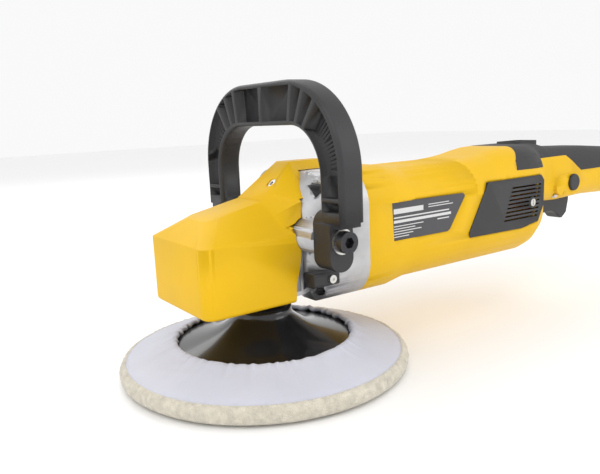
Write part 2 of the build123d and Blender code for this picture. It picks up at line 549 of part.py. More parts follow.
# ---- motor housing: one moulded shell with bearing seat, field ring ribs and screw bosses
shell = outer - inside - rubber_prism + ((under_rubber - inside) & rubber_prism)
FIELD_R = 36.0
with BuildPart() as motor_housing:
    add(shell & front_half)
    for x0, x1, r in ((87, 90, 30), (98, 101, FIELD_R), (145, 148, FIELD_R), (176, 179, 16),
                      (187.5, 191, 11)):
        add((under_rubber & box(x0, x1, -60, 60, 0, 160)) - rod(r, (x0, 0, MOTOR_Z), (x1, 0, MOTOR_Z)))
    add(ring(11, 14.5, 185.4, 193.6, MOTOR_Z))
    for side in (-1, 1):
        for z in (SCREW_LO, SCREW_HI):
            add(rod(6.0, (JOINT_X, side * SCREW_Y, z), (76, side * SCREW_Y, z)))
    for side in (-1, 1):
        add(side_prism(VENT, side * (BODY_HW - 1.8), side * (BODY_HW + 9)), mode=Mode.SUBTRACT)
        add(side_prism(VENT_HOLE, side * 36.5, side * (BODY_HW + 9)), mode=Mode.SUBTRACT)
        add(rod(1.6, (232, side * 36, 87), (232, side * 50, 87)), mode=Mode.SUBTRACT)
        for z in (SCREW_LO, SCREW_HI):
            add(rod(2.5, (JOINT_X, side * SCREW_Y, z), (74, side * SCREW_Y, z)), mode=Mode.SUBTRACT)
        for dy in (0, 14, 28):
            add(rod(3.2, (170, side * dy, 108 - dy / 2), (200, side * dy, 108 - dy / 2)),
                mode=Mode.SUBTRACT)
    add(side_prism(LABEL, -BODY_HW + 0.5, -BODY_HW - 5), mode=Mode.SUBTRACT)
    add(box(214, 234, -12, 12, 40, 52), mode=Mode.SUBTRACT)
    add(dial_room, mode=Mode.SUBTRACT)
motor_housing.part.label = "motor_housing"
export_step(motor_housing.part, "parts/motor_housing.step")

# ---- flange screws: four long screws through the gear case flange into the housing
with BuildPart() as flange_screws:
    for side in (-1, 1):
        for z in (SCREW_LO, SCREW_HI):
            p = (side * SCREW_Y, z)
            add(rod(2.5, (44, *p), (73, *p)))
            add(rod(4.3, (41.5, *p), (46, *p)))
            add(rod(1.8, (41.5, *p), (43.5, *p)), mode=Mode.SUBTRACT)
flange_screws.part.label = "flange_screws"
export_step(flange_screws.part, "parts/flange_screws.step")

# ---- stator: lamination ring and two end windings
with BuildPart() as stator_core:
    add(ring(ARM_CORE_R + 1.0, FIELD_R, CORE_X0, CORE_X1, MOTOR_Z))
stator_core.part.label = "stator_core"
export_step(stator_core.part, "parts/stator_core.step")

with BuildPart() as stator_winding:
    for x0, x1 in ((CORE_X0 - 6, CORE_X0), (CORE_X1, CORE_X1 + 7)):
        add(ring(26.5, 32.5, x0, x1, MOTOR_Z))
stator_winding.part.label = "stator_winding"
export_step(stator_winding.part, "parts/stator_winding.step")

# ---- fan baffle: moulded ring seated in the housing's front rib
with BuildPart() as fan_baffle:
    add(turned([(22, 85.2), (24, 85.2), (30, 87), (30, 90), (28, 90), (22, 87.5)], MOTOR_Z))
fan_baffle.part.label = "fan_baffle"
export_step(fan_baffle.part, "parts/fan_baffle.step")

# ---- brush holders and carbon brushes
with BuildPart() as brush_holders:
    for side in (-1, 1):
        add(box(162, 176, *sorted((side * 15.5, side * 33)), MOTOR_Z - 6, MOTOR_Z + 6))
        add(box(164.5, 173.5, *sorted((side * 14, side * 31.5)), MOTOR_Z - 3, MOTOR_Z + 3),
            mode=Mode.SUBTRACT)
brush_holders.part.label = "brush_holders"
export_step(brush_holders.part, "parts/brush_holders.step")

with BuildPart() as carbon_brushes:
    for side in (-1, 1):
        add(box(164.5, 173.5, *sorted((side * (COMM_R + 0.3), side * 28)), MOTOR_Z - 3, MOTOR_Z + 3))
carbon_brushes.part.label = "carbon_brushes"
export_step(carbon_brushes.part, "parts/carbon_brushes.step")

# ---- vent covers: black moulded grilles, one on each side, held by one screw
vents = {}
for name, side in (("vent_cover_left", -1), ("vent_cover_right", 1)):
    with BuildPart() as vent_cover:
        add(side_prism(VENT, side * (BODY_HW - 1.8), side * (BODY_HW + 0.5)))
        for i in range(9):
            z = 101.5 - 3.1 * i
            x = 206 - 1.2 * i
            add(side_prism([(x, z), (243 - 0.5 * i, z), (243 - 0.5 * i, z - 1.3), (x, z - 1.3)],
                           side * 30, side * 60), mode=Mode.SUBTRACT)
        add(rod(4.6, (232, side * (BODY_HW - 1.8), 87), (232, side * (BODY_HW + 0.6), 87)))
        add(rod(1.6, (232, side * 30, 87), (232, side * 60, 87)), mode=Mode.SUBTRACT)
        add(rod(3.2, (232, side * (BODY_HW - 0.3), 87), (232, side * 60, 87)), mode=Mode.SUBTRACT)
    vents[name] = vent_cover.part
    vents[name].label = name
    export_step(vents[name], f"parts/{name}.step")

with BuildPart() as vent_cover_screws:
    for side in (-1, 1):
        add(rod(1.6, (232, side * 39, 87), (232, side * (BODY_HW - 0.3), 87)))
        add(rod(3.1, (232, side * (BODY_HW - 0.3), 87), (232, side * (BODY_HW + 1.2), 87)))
        add(box(231.6, 232.4, *sorted((side * (BODY_HW + 0.6), side * (BODY_HW + 2))), 84.6, 89.4),
            mode=Mode.SUBTRACT)
vent_cover_screws.part.label = "vent_cover_screws"
export_step(vent_cover_screws.part, "parts/vent_cover_screws.step")

# ---- rating plate: thin printed plate in a recess of the near side
with BuildPart() as rating_plate:
    add(side_prism(LABEL, -BODY_HW + 0.5, -BODY_HW - 0.3))
rating_plate.part.label = "rating_plate"
export_step(rating_plate.part, "parts/rating_plate.step")

# ---- rear handle: two moulded halves, trigger slot below, dial slot above
SCREWS = [(283, 99), (350, 86), (380, 92), (412, 91), (270, 86)]
trigger_slot = box(289.2, 340.6, -TRIG_W / 2 - 0.6, TRIG_W / 2 + 0.6, 60, 92)
halves = {}
for name, side in (("handle_left", -1), ("handle_right", 1)):
    with BuildPart() as half:
        add((shell - front_half) & box(SEAM_X, 500, *sorted((0, side * 60)), 0, 200))
        for x, z in SCREWS:
            add(rod(4.0, (x, 0, z), (x, side * 30, z)) & under_rubber)
        add(box(300, 330, *sorted((side * 10, side * 30)), 98, 104) & under_rubber)
        add(box(344, 370, *sorted((side * 12, side * 30)), 97, 102) & under_rubber)
        add(rod(5.5, (DIAL_X, side * (DIAL_W / 2 + 0.6), DIAL_Z), (DIAL_X, side * 30, DIAL_Z))
            & under_rubber)
        if side < 0:
            with BuildSketch(Plane.XZ.offset(HANDLE_HW - 3.0)):
                with Locations((311.5, 93)):
                    RectangleRounded(37, 18, 8.9)
            extrude(amount=5.2)
            add(rod(BUTTON_R + RUN + 0.03, (BUTTON_X, -40, BUTTON_Z), (BUTTON_X, -10.2, BUTTON_Z)),
                mode=Mode.SUBTRACT)
        add(rod(3.0 + RUN, (DIAL_X, 0, DIAL_Z), (DIAL_X, side * 9.6, DIAL_Z)), mode=Mode.SUBTRACT)
        add(rod(2.0, (TRIG_PIVOT[0], 0, TRIG_PIVOT[1]),
                (TRIG_PIVOT[0], side * (HANDLE_HW - 1.2), TRIG_PIVOT[1])), mode=Mode.SUBTRACT)
        for x, z in SCREWS:
            add(rod(1.5, (x, 0, z), (x, side * 16, z)), mode=Mode.SUBTRACT)
            if side > 0:
                add(rod(1.5, (x, 0, z), (x, 18, z)), mode=Mode.SUBTRACT)
                add(rod(3.2, (x, 18, z), (x, 60, z)), mode=Mode.SUBTRACT)
        add(rod(9, (REAR_X - 10, 0, BUSH_Z), (REAR_X + 10, 0, BUSH_Z)), mode=Mode.SUBTRACT)
        add(trigger_slot, mode=Mode.SUBTRACT)
        add(dial_room, mode=Mode.SUBTRACT)
        add(handle_grip.part, mode=Mode.SUBTRACT)
    halves[name] = half.part
    halves[name].label = name
    export_step(halves[name], f"parts/{name}.step")

with BuildPart() as handle_screws:
    for x, z in SCREWS:
        add(rod(1.5, (x, -14, z), (x, 18, z)))
        add(rod(3.0, (x, 18, z), (x, 20, z)))
        add(rod(1.2, (x, 18.8, z), (x, 21, z)), mode=Mode.SUBTRACT)
handle_screws.part.label = "handle_screws"
export_step(handle_screws.part, "parts/handle_screws.step")

# ---- switch body and speed module, clamped between ribs of the two halves
with BuildPart() as switch_body:
    add(box(298, 334, -10, 10, 93.2, 111))
    add(box(302, 330, -8, 8, 111, 114))
    add(rod(BUTTON_R + 0.6, (BUTTON_X, -12, BUTTON_Z), (BUTTON_X, -9.2, BUTTON_Z)), mode=Mode.SUBTRACT)
switch_body.part.label = "switch_body"
export_step(switch_body.part, "parts/switch_body.step")

with BuildPart() as speed_module:
    add(box(344, 370, -12, 12, 93, 108))
speed_module.part.label = "speed_module"
export_step(speed_module.part, "parts/speed_module.step")

# ---- cord inlet bush: rubber, pinched in the rear wall of the handle
BUSH_R = 4.0
with BuildPart() as cord_inlet_bush:
    add(turned([(BUSH_R, REAR_X - 9), (11, REAR_X - 9), (11, REAR_X - WALL - 0.3),
                (9, REAR_X - WALL - 0.3), (9, REAR_X), (10.8, REAR_X), (10.4, REAR_X + 3),
                (7.5, REAR_X + 12), (BUSH_R, REAR_X + 12)], BUSH_Z))
cord_inlet_bush.part.label = "cord_inlet_bush"
export_step(cord_inlet_bush.part, "parts/cord_inlet_bush.step")

# ---- trigger: black moulded lever on a cross pin
px, pz = TRIG_PIVOT
with BuildPart() as trigger:
    with BuildSketch(Plane.XZ):
        with BuildLine():
            Polyline((292.5, 86), (291.5, 76), (290.4, 69), (291.5, 67.2), (299, 66.6), (309, 66.9))
            Spline((309, 66.9), (317, 65.6), (323, 62.0), (327.5, 58.9), tangents=[(1, 0), (1, -0.35)])
            Polyline((327.5, 58.9), (330, 58.8), (336.5, 63.4), (338.6, 72), (338.2, 84), (334, 86),
                     (292.5, 86))
        make_face()
    extrude(amount=TRIG_W / 2, both=True)
    fillet([e for e in trigger.edges() if e.center().Z < 68 and abs(e.center().Y) > 6], 1.2)
    add(rod(2.0 + RUN, (px, -20, pz), (px, 20, pz)), mode=Mode.SUBTRACT)
trigger.part.label = "trigger"
export_step(trigger.part, "parts/trigger.step")

with BuildPart() as trigger_pin:
    add(rod(2.0, (px, -HANDLE_HW + 1.2, pz), (px, HANDLE_HW - 1.2, pz)))
trigger_pin.part.label = "trigger_pin"
export_step(trigger_pin.part, "parts/trigger_pin.step")

# ---- lock-on button
with BuildPart() as lock_on_button:
    add(rod(BUTTON_R, (BUTTON_X, -26.6, BUTTON_Z), (BUTTON_X, -13.6, BUTTON_Z)))
    fillet(lock_on_button.edges().sort_by(Axis.Y)[0], 1.4)
lock_on_button.part.label = "lock_on_button"
export_step(lock_on_button.part, "parts/lock_on_button.step")

# ---- speed dial: knurled thumbwheel on two stub axles
with BuildPart() as speed_dial:
    with BuildSketch(Plane.XZ.offset(-DIAL_W / 2)):
        with Locations((DIAL_X, DIAL_Z)):
            Circle(DIAL_R)
            with PolarLocations(DIAL_R, 36):
                Rectangle(1.2, 1.0, mode=Mode.SUBTRACT)
    extrude(amount=DIAL_W)
    add(rod(3.0, (DIAL_X, -9.2, DIAL_Z), (DIAL_X, 9.2, DIAL_Z)))
speed_dial.part.label = "speed_dial"
export_step(speed_dial.part, "parts/speed_dial.step")

# ---- spindle lock button on the far side of the head
with BuildPart() as spindle_lock_button:
    add(rod(LOCK_R, (-14, 30.5, 63.5), (-14, 39, 63.5)))
    add(rod(7.0, (-14, 39, 63.5), (-14, 44, 63.5)))
    fillet(spindle_lock_button.edges().sort_by(Axis.Y)[-1], 1.2)
spindle_lock_button.part.label = "spindle_lock_button"
export_step(spindle_lock_button.part, "parts/spindle_lock_button.step")

# ---- cover screw on the hump's front slope
with BuildPart() as front_cover_screw:
    add(rod(1.5, (12, -8, 116), (8.6, -8, 119.4)))
    add(rod(3.4, (8.9, -8, 119.1), (6.6, -8, 121.4)))
    add(rod(1.5, (7.6, -8, 120.4), (5, -8, 123)), mode=Mode.SUBTRACT)
front_cover_screw.part.label = "front_cover_screw"
export_step(front_cover_screw.part, "parts/front_cover_screw.step")

# ==== bail handle ====
# ---- bail handle: D-shaped moulding, channelled front and back, feet bolted to the case
INNER_HW = BAIL_HW - 20.5
x0, x1 = BAIL_X - BAIL_D / 2, BAIL_X + BAIL_D / 2
RIM = 2.8
with BuildPart() as bail_handle:
    with BuildSketch(Plane.YZ.offset(x0)):
        with Locations((0, BAIL_TOP_Z / 2)):
            RectangleRounded(2 * BAIL_HW, BAIL_TOP_Z, 54)
        with Locations((0, (BAIL_TOP_Z - 27) / 2)):
            RectangleRounded(2 * INNER_HW, BAIL_TOP_Z - 27, 30, mode=Mode.SUBTRACT)
        with Locations((0, 51)):
            Rectangle(2 * BAIL_HW + 2, 102, mode=Mode.SUBTRACT)
    extrude(amount=BAIL_D)
    fillet([e for e in bail_handle.edges() if e.center().Z > 102.5
            and min(abs(e.center().X - x0), abs(e.center().X - x1)) < 0.01], 3.0)
    for xa, depth in ((x0, 7.0), (x1 - 4.5, 4.5)):
        with BuildSketch(Plane.YZ.offset(xa)):
            with Locations((0, BAIL_TOP_Z / 2)):
                RectangleRounded(2 * (BAIL_HW - RIM), BAIL_TOP_Z - 2 * RIM, 54 - RIM)
            with Locations((0, (BAIL_TOP_Z - 27) / 2)):
                RectangleRounded(2 * (INNER_HW + RIM), BAIL_TOP_Z - 27 + 2 * RIM, 30 + RIM,
                                 mode=Mode.SUBTRACT)
            with Locations((0, 54)):
                Rectangle(2 * BAIL_HW + 2, 108, mode=Mode.SUBTRACT)
            for side in (-1, 1):
                for ang in (52, 66, 80):
                    with Locations(Location((side * 25.5, 130.5), side * ang + (180 if side < 0 else 0))):
                        Rectangle(130, 3.2, mode=Mode.SUBTRACT)
                with Locations((side * 68, 115)):
                    Rectangle(22, 2.2, mode=Mode.SUBTRACT)
            Rectangle(4, 600, mode=Mode.SUBTRACT)
        extrude(amount=depth, mode=Mode.SUBTRACT)
    for side in (-1, 1):
        ya, yb = sorted((side * BOSS_END, side * 68))
        with BuildSketch(Plane.XZ.offset(-ya)):
            with Locations((BAIL_X, 90.0)):
                RectangleRounded(BAIL_D, 36, 8.3)
        extrude(amount=-(yb - ya))
        add(box(x0 + 1, x1 - 1, *sorted((side * 60, side * (BAIL_HW - 3))), 99, 106))
        add(rod(BOLT_R, (BAIL_X, side * 40, BOLT_Z), (BAIL_X, side * 90, BOLT_Z)), mode=Mode.SUBTRACT)
        add(rod(8.4, (BAIL_X, side * 68, BOLT_Z), (BAIL_X, side * 90, BOLT_Z)), mode=Mode.SUBTRACT)
bail_handle.part.label = "bail_handle"
export_step(bail_handle.part, "parts/bail_handle.step")

with BuildPart() as bail_handle_washers:
    for side in (-1, 1):
        y = [side * 68, side * 69.3]
        add(rod(7.6, (BAIL_X, y[0], BOLT_Z), (BAIL_X, y[1], BOLT_Z)))
        add(rod(BOLT_R, (BAIL_X, side * 60, BOLT_Z), (BAIL_X, side * 80, BOLT_Z)), mode=Mode.SUBTRACT)
bail_handle_washers.part.label = "bail_handle_washers"
export_step(bail_handle_washers.part, "parts/bail_handle_washers.step")

with BuildPart() as bail_handle_bolts:
    for side in (-1, 1):
        add(rod(BOLT_R, (BAIL_X, side * 41, BOLT_Z), (BAIL_X, side * 70, BOLT_Z)))
        add(rod(6.5, (BAIL_X, side * 69.3, BOLT_Z), (BAIL_X, side * 75, BOLT_Z)))
        with BuildSketch(Plane.XZ.offset(-side * 75)):
            with Locations((BAIL_X, BOLT_Z)):
                RegularPolygon(3.4, 6)
        extrude(amount=side * 3.6, mode=Mode.SUBTRACT)
bail_handle_bolts.part.label = "bail_handle_bolts"
export_step(bail_handle_bolts.part, "parts/bail_handle_bolts.step")

# ---- side brackets: small black clips with a screw, on the gear case under the bail feet
with BuildPart() as side_brackets:
    for side in (-1, 1):
        with BuildSketch(Plane.YZ.offset(8)):
            with Locations((side * 43, 63.5)):
                RectangleRounded(12, 9, 2)
        extrude(amount=19)
    add(gear_case.part, mode=Mode.SUBTRACT)
side_brackets.part.label = "side_brackets"
export_step(side_brackets.part, "parts/side_brackets.step")

with BuildPart() as side_bracket_screws:
    for side in (-1, 1):
        add(rod(2.6, (21, side * 49, 63.5), (21, side * 50.6, 63.5)))
        add(rod(1.0, (21, side * 50, 63.5), (21, side * 52, 63.5)), mode=Mode.SUBTRACT)
side_bracket_screws.part.label = "side_bracket_screws"
export_step(side_bracket_screws.part, "parts/side_bracket_screws.step")
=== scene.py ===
# Rotary polisher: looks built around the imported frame, in metres.
import math

import bmesh
import bpy
from mathutils import Matrix, Vector, noise


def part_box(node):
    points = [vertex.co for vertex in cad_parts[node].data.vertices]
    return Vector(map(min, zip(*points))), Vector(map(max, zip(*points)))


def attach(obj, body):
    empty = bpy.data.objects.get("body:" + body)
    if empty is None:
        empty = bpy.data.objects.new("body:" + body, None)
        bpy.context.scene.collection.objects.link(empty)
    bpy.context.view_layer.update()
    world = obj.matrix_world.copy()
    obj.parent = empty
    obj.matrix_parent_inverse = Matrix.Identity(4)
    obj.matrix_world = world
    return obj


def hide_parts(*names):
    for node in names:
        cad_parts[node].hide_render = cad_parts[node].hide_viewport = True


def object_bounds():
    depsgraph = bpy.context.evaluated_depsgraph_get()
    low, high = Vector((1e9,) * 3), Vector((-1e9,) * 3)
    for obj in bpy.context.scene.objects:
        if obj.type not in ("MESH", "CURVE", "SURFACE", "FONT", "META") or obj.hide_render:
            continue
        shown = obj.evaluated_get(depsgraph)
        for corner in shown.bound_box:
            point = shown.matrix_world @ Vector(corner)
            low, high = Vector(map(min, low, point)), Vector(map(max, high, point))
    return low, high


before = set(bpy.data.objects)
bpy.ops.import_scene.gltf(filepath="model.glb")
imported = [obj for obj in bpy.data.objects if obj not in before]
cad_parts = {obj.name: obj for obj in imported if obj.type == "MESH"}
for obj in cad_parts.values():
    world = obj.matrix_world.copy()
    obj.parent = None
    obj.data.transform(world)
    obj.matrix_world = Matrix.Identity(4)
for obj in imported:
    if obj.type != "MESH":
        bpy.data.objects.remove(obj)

cad_box = [list(corner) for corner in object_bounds()]
bpy.ops.object.select_all(action="DESELECT")

# ---- Camera, lights and floor
# A studio table shot: the camera stands in front of the head, a little above the barrel,
# and soft lights stand round a pale floor.
camera_place = Vector((-0.20914, -0.34786, 0.16108))
camera_right = Vector((0.8159, -0.5766, -0.0430)).normalized()
camera_up = Vector((0.1409, 0.1261, 0.9820))
camera_back = camera_right.cross(camera_up).normalized()
camera_up = camera_back.cross(camera_right)
camera_data = bpy.data.cameras.new("camera")
camera_data.lens = 37.86
camera_data.sensor_width = 36.0
camera_data.clip_start = 0.01
camera = bpy.data.objects.new("camera", camera_data)
turn = Matrix((camera_right, camera_up, camera_back)).transposed()
camera.matrix_world = Matrix.Translation(camera_place) @ turn.to_4x4()
bpy.context.collection.objects.link(camera)
bpy.context.scene.camera = camera


def lamp(name, place, target, size, power, tint=(1, 1, 1)):
    """A square soft light that looks at target."""
    data = bpy.data.lights.new(name, "AREA")
    data.size = size
    data.energy = power
    data.color = tint
    lit = bpy.data.objects.new(name, data)
    lit.location = place
    lit.rotation_euler = (Vector(target) - Vector(place)).to_track_quat("-Z", "Y").to_euler()
    bpy.context.collection.objects.link(lit)


lamp("key_light", (-0.55, -0.75, 1.25), (0.08, 0, 0.08), 0.9, 5)
lamp("side_light", (0.85, -1.05, 0.75), (0.12, 0, 0.08), 0.9, 4)
lamp("back_light", (0.2, 1.1, 1.1), (0.08, 0, 0.1), 1.0, 4.5)
lamp("left_light", (-1.2, 0.15, 0.55), (0, 0, 0.08), 0.8, 1.6)
world = bpy.data.worlds.new("studio")
world.use_nodes = True
world.node_tree.nodes["Background"].inputs["Color"].default_value = (1.0, 1.0, 1.0, 1)
world.node_tree.nodes["Background"].inputs["Strength"].default_value = 0.95
bpy.context.scene.world = world
bpy.context.scene.view_settings.view_transform = "Standard"

bpy.ops.mesh.primitive_plane_add(size=8, location=(0, 0, cad_box[0][2] - 0.0005))
floor = bpy.context.active_object
floor.name = "floor"
floor_paint = bpy.data.materials.new("pale_floor")
floor_paint.use_nodes = True
floor_shader = floor_paint.node_tree.nodes["Principled BSDF"]
floor_shader.inputs["Base Color"].default_value = (0.93, 0.93, 0.93, 1)
floor_shader.inputs["Roughness"].default_value = 0.7
floor.data.materials.append(floor_paint)
bpy.ops.object.select_all(action="DESELECT")


# ---- Head cover, motor housing and rear handle halves
# Glass-filled nylon in one yellow, injection moulded with a fine spark-eroded texture.
# The shells are screwed to the gear case and to each other.
def finish_material(name, colour, rough, shift=0.05, patch=60.0, grain=1500.0, bump=0.1,
                    metal=0.0, depth=0.0002, rough_span=0.08, sheen=0.0, coat=0.0, glint=0.5):
    """Procedural finish: slow colour drift, uneven gloss and a fine surface grain."""
    made = bpy.data.materials.new(name)
    made.use_nodes = True
    tree = made.node_tree
    shader = tree.nodes["Principled BSDF"]
    place = tree.nodes.new("ShaderNodeTexCoord")
    drift = tree.nodes.new("ShaderNodeTexNoise")
    drift.inputs["Scale"].default_value = patch
    drift.inputs["Detail"].default_value = 4.0
    tree.links.new(place.outputs["Object"], drift.inputs["Vector"])
    tone = tree.nodes.new("ShaderNodeValToRGB")
    tone.color_ramp.elements[0].position = 0.3
    tone.color_ramp.elements[1].position = 0.7
    tone.color_ramp.elements[0].color = (*[c * (1 - shift) for c in colour], 1)
    tone.color_ramp.elements[1].color = (*[min(1, c * (1 + shift)) for c in colour], 1)
    tree.links.new(drift.outputs["Fac"], tone.inputs["Fac"])
    tree.links.new(tone.outputs["Color"], shader.inputs["Base Color"])
    gloss = tree.nodes.new("ShaderNodeMapRange")
    gloss.inputs["To Min"].default_value = rough - rough_span / 2
    gloss.inputs["To Max"].default_value = rough + rough_span / 2
    tree.links.new(drift.outputs["Fac"], gloss.inputs["Value"])
    tree.links.new(gloss.outputs["Result"], shader.inputs["Roughness"])
    grit = tree.nodes.new("ShaderNodeTexNoise")
    grit.inputs["Scale"].default_value = grain
    grit.inputs["Detail"].default_value = 3.0
    tree.links.new(place.outputs["Object"], grit.inputs["Vector"])
    relief = tree.nodes.new("ShaderNodeBump")
    relief.inputs["Strength"].default_value = bump
    relief.inputs["Distance"].default_value = depth
    tree.links.new(grit.outputs["Fac"], relief.inputs["Height"])
    tree.links.new(relief.outputs["Normal"], shader.inputs["Normal"])
    shader.inputs["Metallic"].default_value = metal
    shader.inputs["Sheen Weight"].default_value = sheen
    shader.inputs["Coat Weight"].default_value = coat
    shader.inputs["Specular IOR Level"].default_value = glint
    return made


def give(node, material):
    """Put a material on every slot of a carried-over CAD node."""
    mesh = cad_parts[node].data
    if not mesh.materials:
        mesh.materials.append(material)
    for i in range(len(mesh.materials)):
        mesh.materials[i] = material


MERGE_DISTANCE = 0.00002
SMOOTH_ANGLE = 32  # degrees; sharper edges than this stay crisp


def moulded_copy(node, body, material, angle=SMOOTH_ANGLE):
    """A merged, smooth-shaded copy of a CAD node, shown in its place."""
    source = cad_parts[node]
    skin = bpy.data.objects.new(node + "_shell", source.data.copy())
    bpy.context.collection.objects.link(skin)
    skin.matrix_world = source.matrix_world.copy()
    bpy.ops.object.select_all(action="DESELECT")
    skin.select_set(True)
    bpy.context.view_layer.objects.active = skin
    bpy.ops.object.transform_apply(location=True, rotation=True, scale=True)
    bpy.ops.object.mode_set(mode="EDIT")
    bpy.ops.mesh.select_all(action="SELECT")
    bpy.ops.mesh.remove_doubles(threshold=MERGE_DISTANCE)
    bpy.ops.object.mode_set(mode="OBJECT")
    bpy.ops.object.shade_smooth_by_angle(angle=math.radians(angle))
    skin.data.materials.clear()
    skin.data.materials.append(material)
    skin.select_set(False)
    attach(skin, body)
    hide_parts(node)


yellow = finish_material("yellow_nylon", (0.74, 0.44, 0.004), 0.46, shift=0.03, patch=35,
                         grain=2600, bump=0.12, rough_span=0.06, glint=0.22)
for shell_node in ("front_cover", "motor_housing", "handle_left", "handle_right"):
    moulded_copy(shell_node, "tool_body", yellow)

# ---- Rubber overmould
# Soft black elastomer moulded over the rear of the housing and the top of the handle.
rubber = finish_material("black_elastomer", (0.022, 0.022, 0.024), 0.62, shift=0.12, patch=90,
                         grain=1800, bump=0.25, rough_span=0.1)
moulded_copy("handle_grip", "tool_body", rubber)
give("cord_inlet_bush", rubber)

# ---- Bail handle, vents, buttons and trigger
# Black glass-filled nylon with a dry moulded texture; bolted or snapped in place.
black = finish_material("black_nylon", (0.020, 0.020, 0.022), 0.48, shift=0.15, patch=70,
                        grain=2200, bump=0.2, rough_span=0.1)
moulded_copy("bail_handle", "tool_body", black)
for dark_node, dark_body in (("vent_cover_left", "tool_body"), ("vent_cover_right", "tool_body"),
                             ("trigger", "trigger_lever"), ("side_brackets", "tool_body")):
    moulded_copy(dark_node, dark_body, black)
for plain_node in ("fan_baffle", "switch_body", "cooling_fan", "lock_on_button",
                   "spindle_lock_button"):
    give(plain_node, black)

# ---- Gear case and bearing box
# Pressure die-cast aluminium, shot blasted to a soft grey.
cast = finish_material("blasted_aluminium", (0.52, 0.52, 0.53), 0.45, shift=0.08, patch=120,
                       grain=1600, bump=0.25, metal=0.85, rough_span=0.14)
moulded_copy("gear_case", "tool_body", cast)
for cast_node in ("bearing_box", "gearbox_plate"):
    give(cast_node, cast)

# ---- Screws, bolts, shafts, bearings and gears
# Zinc-plated and oiled steel, turned or cold formed.
zinc = finish_material("zinc_plate", (0.62, 0.61, 0.58), 0.28, shift=0.1, patch=300, grain=3000,
                       bump=0.08, metal=1.0)
for zinc_node in ("bearing_box_screws", "front_cover_screw", "flange_screws", "vent_cover_screws",
                  "handle_screws", "bail_handle_washers", "side_bracket_screws", "pad_hub_nut"):
    give(zinc_node, zinc)
ground = finish_material("ground_steel", (0.56, 0.56, 0.57), 0.22, shift=0.06, patch=500,
                         grain=4000, bump=0.08, metal=1.0)
for steel_node in ("spindle_lower_bearing", "layshaft_front_bearing", "layshaft_rear_bearing",
                   "armature_front_bearing", "armature_rear_bearing", "trigger_pin",
                   "spindle_shaft", "layshaft", "armature_shaft"):
    give(steel_node, ground)
oxide = finish_material("black_oxide_steel", (0.045, 0.045, 0.05), 0.32, shift=0.15, patch=300,
                        grain=2500, bump=0.1, metal=0.7)
for oxide_node in ("bail_handle_bolts", "bevel_ring_gear", "layshaft_gear", "bevel_pinion",
                   "armature_pinion"):
    give(oxide_node, oxide)

# ---- Motor iron, copper, brass, bronze and carbon
# Stacked electrical steel, enamelled wire, drawn brass and pressed carbon.
for inner_node, inner_name, tint, rough, metal in (
        ("stator_core", "stator_iron", (0.20, 0.20, 0.21), 0.5, 0.8),
        ("armature_core", "armature_iron", (0.20, 0.20, 0.21), 0.5, 0.8),
        ("stator_winding", "enamelled_wire", (0.55, 0.20, 0.08), 0.35, 0.9),
        ("commutator", "copper_bars", (0.68, 0.32, 0.17), 0.3, 1.0),
        ("brush_holders", "drawn_brass", (0.70, 0.52, 0.20), 0.35, 1.0),
        ("spindle_upper_bush", "sintered_bronze", (0.45, 0.30, 0.15), 0.5, 0.9),
        ("carbon_brushes", "pressed_carbon", (0.04, 0.04, 0.045), 0.6, 0.1),
        ("dust_seal", "grey_felt", (0.18, 0.17, 0.16), 0.95, 0.0),
        ("speed_module", "green_potting", (0.03, 0.06, 0.045), 0.5, 0.0)):
    give(inner_node, finish_material(inner_name, tint, rough, shift=0.15, patch=200, grain=1500,
                                     bump=0.2, metal=metal))

# ---- Speed dial
# A glossy yellow thumbwheel with fine knurls.
give("speed_dial", finish_material("dial_gloss", (0.86, 0.58, 0.02), 0.3, shift=0.04, patch=80,
                                   grain=2500, bump=0.06, coat=0.2))

# ---- Rating plate
# Dark printed foil; its text is left out and plain pale rules stand for the printed lines.
plate = finish_material("printed_foil", (0.055, 0.055, 0.06), 0.38, shift=0.06, patch=80,
                        grain=2500, bump=0.05)
plate_tree = plate.node_tree
plate_place = plate_tree.nodes.new("ShaderNodeTexCoord")
plate_split = plate_tree.nodes.new("ShaderNodeSeparateXYZ")
plate_tree.links.new(plate_place.outputs["Object"], plate_split.inputs["Vector"])


def plate_math(kind, left, right):
    """One Math node on the plate's tree; numbers or sockets go in."""
    step = plate_tree.nodes.new("ShaderNodeMath")
    step.operation = kind
    for slot_index, value in enumerate((left, right)):
        if isinstance(value, (int, float)):
            step.inputs[slot_index].default_value = value
        else:
            plate_tree.links.new(value, step.inputs[slot_index])
    return step.outputs[0]


def plate_window(x_lo, x_hi, z_lo, z_hi):
    """1 inside a rectangle of the plate, 0 outside."""
    across = plate_math("MULTIPLY", plate_math("GREATER_THAN", plate_split.outputs["X"], x_lo),
                        plate_math("LESS_THAN", plate_split.outputs["X"], x_hi))
    upward = plate_math("MULTIPLY", plate_math("GREATER_THAN", plate_split.outputs["Z"], z_lo),
                        plate_math("LESS_THAN", plate_split.outputs["Z"], z_hi))
    return plate_math("MULTIPLY", across, upward)


rules = None
for x_lo, x_hi, z_lo, z_hi in (
        (0.080, 0.108, 0.0955, 0.0990), (0.080, 0.134, 0.0925, 0.0934),
        (0.113, 0.134, 0.0985, 0.0991), (0.113, 0.138, 0.0968, 0.0974),
        (0.080, 0.136, 0.0893, 0.0912), (0.080, 0.108, 0.0868, 0.0874),
        (0.080, 0.100, 0.0850, 0.0856), (0.080, 0.106, 0.0832, 0.0838),
        (0.080, 0.098, 0.0814, 0.0820), (0.080, 0.094, 0.0796, 0.0802),
        (0.122, 0.134, 0.0870, 0.0878)):
    patch_mask = plate_window(x_lo, x_hi, z_lo, z_hi)
    rules = patch_mask if rules is None else plate_math("MAXIMUM", rules, patch_mask)
ink = plate_tree.nodes.new("ShaderNodeMixRGB")
plate_base = plate_tree.nodes["Color Ramp"]
plate_tree.links.new(plate_base.outputs["Color"], ink.inputs[1])
ink.inputs[2].default_value = (0.62, 0.62, 0.62, 1)
